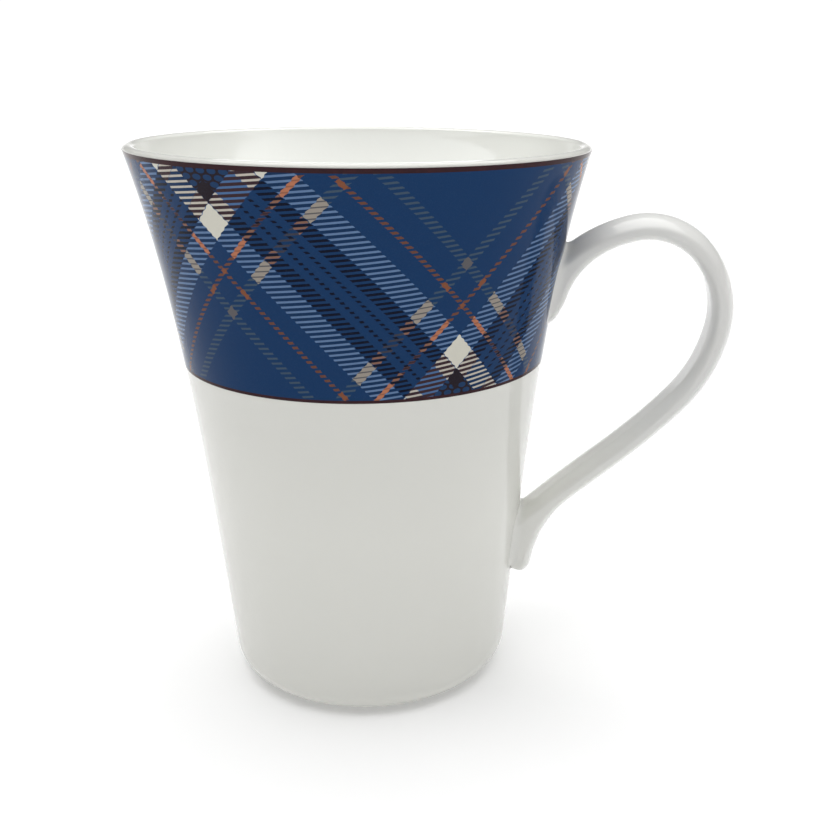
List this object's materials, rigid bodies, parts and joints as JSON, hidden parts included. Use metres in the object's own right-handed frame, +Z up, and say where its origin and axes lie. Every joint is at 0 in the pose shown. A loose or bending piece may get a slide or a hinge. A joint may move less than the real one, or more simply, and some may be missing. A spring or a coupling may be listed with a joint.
{
  "type": "porcelain mug",
  "caption": "Tall flared glazed mug with a looped strap handle and a printed plaid band under the rim.",
  "frame": {"origin": "centre of the plane the foot ring stands on, on the axis of the cup", "axes": "+Z up along the cup's axis, +X towards the handle, +Y completes the right-handed frame"},
  "size_m": [0.12, 0.0904, 0.1117],
  "materials": {
    "glazed_body": "gloss",
    "glazed_handle": "gloss",
    "glazed_slip": "gloss",
    "plaid_print": "gloss",
    "brown_line": "gloss"
  },
  "bodies": {
    "root": {"body": "glazed_body", "handle": "glazed_handle", "upper_slip_joint": "glazed_slip", "lower_slip_joint": "glazed_slip", "plaid_band": "plaid_print", "rim_line": "brown_line", "band_line": "brown_line"}
  },
  "joints": []
}
